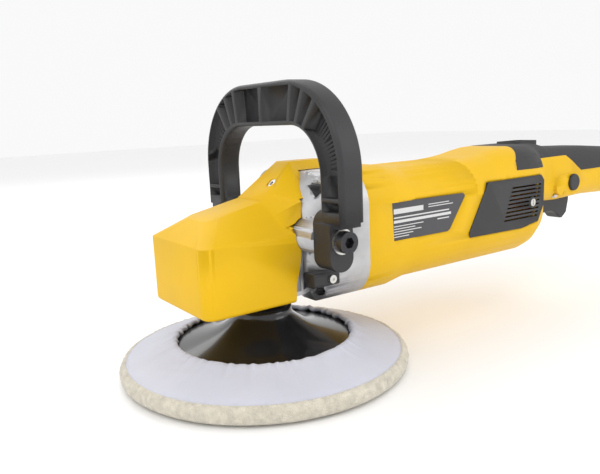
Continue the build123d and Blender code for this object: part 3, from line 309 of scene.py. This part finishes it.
plate_tree.links.new(rules, ink.inputs[0])
plate_tree.links.new(ink.outputs[0], plate_tree.nodes["Principled BSDF"].inputs["Base Color"])
give("rating_plate", plate)

# ---- Backing pad
# Moulded black urethane with a glossy skin.
pad_gloss = finish_material("glossy_urethane", (0.010, 0.010, 0.011), 0.2, shift=0.2, patch=60,
                            grain=1200, bump=0.04, rough_span=0.08, coat=0.3)
moulded_copy("backing_pad", "spindle", pad_gloss, angle=40)

# ---- Wool bonnet
# A disc of wool pile sewn to a white cotton cover, drawn in over the pad by a cord in its hem.
BONNET_SEGMENTS = 640
bonnet_lo, bonnet_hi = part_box("wool_bonnet")
pile_r = (bonnet_hi[0] - bonnet_lo[0]) / 2
open_r = 0.0578  # the hem's opening round the pad
hem_top = 0.0236  # the hem's folds stay below this height
cover_floor = 0.0116  # the cotton cover starts above this height
pile_ceiling = 0.0122  # the fluffy edge ends below this height
rings = [  # radius and height, from the pile face out round the edge and in over the cover
    (0.004, 0.0004), (0.030, 0.0004), (0.055, 0.0004), (0.075, 0.0004), (pile_r - 0.0065, 0.0006),
    (pile_r - 0.0035, 0.0014), (pile_r - 0.0014, 0.0034), (pile_r - 0.0007, 0.0060),
    (pile_r - 0.0012, 0.0086), (pile_r - 0.0026, 0.0108), (pile_r - 0.0045, 0.0121),
    (pile_r - 0.0056, 0.0117), (pile_r - 0.0068, 0.0122), (pile_r - 0.0085, 0.0130),
    (pile_r - 0.0120, 0.0141), (pile_r - 0.0160, 0.0153), (pile_r - 0.0200, 0.0166),
    (pile_r - 0.0240, 0.0179), (pile_r - 0.0275, 0.0191), (pile_r - 0.0310, 0.0203),
    (open_r + 0.0045, 0.0216), (open_r + 0.0022, 0.0225), (open_r + 0.0003, 0.0222),
    (open_r - 0.0004, 0.0208), (open_r + 0.0006, 0.0199), (open_r + 0.0040, 0.0189),
]
fine_rings = rings[:4]
for (r_a, z_a), (r_b, z_b) in zip(rings[4:], rings[5:]):
    fine_rings += [(r_a, z_a), ((r_a + r_b) / 2, (z_a + z_b) / 2)]
rings = fine_rings + [rings[-1]]
bpy.ops.mesh.primitive_circle_add(vertices=BONNET_SEGMENTS, radius=rings[0][0], fill_type="NGON",
                                  location=(0, 0, rings[0][1]))
bonnet = bpy.context.active_object
bonnet.name = "bonnet_soft"
bpy.ops.object.mode_set(mode="EDIT")
bpy.ops.mesh.select_all(action="SELECT")
bpy.ops.mesh.flip_normals()
bpy.ops.mesh.select_mode(type="EDGE")
bpy.ops.mesh.select_all(action="DESELECT")
shape = bmesh.from_edit_mesh(bonnet.data)
for edge in shape.edges:
    edge.select = True
bmesh.update_edit_mesh(bonnet.data)
for (r_before, z_before), (r_now, z_now) in zip(rings, rings[1:]):
    grow = r_now / r_before
    bpy.ops.mesh.extrude_edges_move(TRANSFORM_OT_translate={"value": (0, 0, z_now - z_before)})
    bpy.ops.transform.resize(value=(grow, grow, 1), center_override=(0, 0, z_now))
bpy.ops.object.mode_set(mode="OBJECT")
bpy.ops.object.transform_apply(location=True, rotation=True, scale=True)

pile_wool = finish_material("wool_pile", (0.68, 0.63, 0.52), 0.95, shift=0.16, patch=240,
                            grain=1400, bump=1.0, depth=0.0012, sheen=0.4)
cover_cotton = finish_material("cotton_cover", (0.56, 0.57, 0.65), 0.88, shift=0.03, patch=45,
                               grain=2400, bump=0.35, depth=0.0003, sheen=0.25)
weave_tree = cover_cotton.node_tree
weave_place = weave_tree.nodes.new("ShaderNodeTexCoord")
weave = weave_tree.nodes.new("ShaderNodeTexWave")
weave.bands_direction = "DIAGONAL"
weave.inputs["Scale"].default_value = 700
weave.inputs["Distortion"].default_value = 1.5
weave_tree.links.new(weave_place.outputs["Object"], weave.inputs["Vector"])
weave_relief = weave_tree.nodes.new("ShaderNodeBump")
weave_relief.inputs["Strength"].default_value = 0.25
weave_relief.inputs["Distance"].default_value = 0.0002
weave_tree.links.new(weave.outputs["Fac"], weave_relief.inputs["Height"])
weave_tree.links.new(weave_tree.nodes["Bump"].outputs["Normal"], weave_relief.inputs["Normal"])
weave_tree.links.new(weave_relief.outputs["Normal"],
                     weave_tree.nodes["Principled BSDF"].inputs["Normal"])
bonnet.data.materials.append(pile_wool)
bonnet.data.materials.append(cover_cotton)
edge_r = pile_r - 0.0050  # the seam between pile and cover
for face in bonnet.data.polygons:
    centre = face.center
    reach = math.hypot(centre.x, centre.y)
    face.material_index = 1 if (centre.z > cover_floor and reach < edge_r) else 0
for vert in bonnet.data.vertices:
    p = vert.co
    reach = math.hypot(p.x, p.y)
    if reach < 1e-5:
        continue
    turn_angle = math.atan2(p.y, p.x)
    out = Vector((p.x / reach, p.y / reach, 0))
    fluff = noise.noise(Vector((p.x, p.y, p.z)) * 900) * 0.5 + noise.noise(p * 330) * 0.5
    if p.z < pile_ceiling and reach > edge_r - 0.002:
        p += out * fluff * 0.0011 + Vector((0, 0, fluff * 0.0005))
    elif p.z >= cover_floor:
        near_hem = max(0.0, 1 - (reach - open_r) / (pile_r - open_r - 0.006))
        round_x, round_y = math.cos(turn_angle), math.sin(turn_angle)
        wander = noise.noise(Vector((round_x, round_y, 0)) * 2.4)
        fold = (math.sin(turn_angle * 46 + wander * 9) * 0.5
                + math.sin(turn_angle * 71 + wander * 14 + 1.3) * 0.3
                + noise.noise(Vector((round_x, round_y, reach * 20)) * 9) * 0.6)
        lift = fold * 0.00085 * near_hem ** 2.2
        slow = noise.noise(Vector((p.x, p.y, 0)) * 38) * 0.00045 * (1 - near_hem * 0.4)
        p.z += lift + slow * (0.3 if reach > edge_r - 0.004 else 1.0)
        if reach < open_r + 0.003:
            p += out * (fold * 0.0009 + wander * 0.0008)
        p.z = min(p.z, hem_top)
bpy.ops.object.shade_smooth()
bonnet.select_set(False)
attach(bonnet, "spindle")
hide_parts("wool_bonnet")
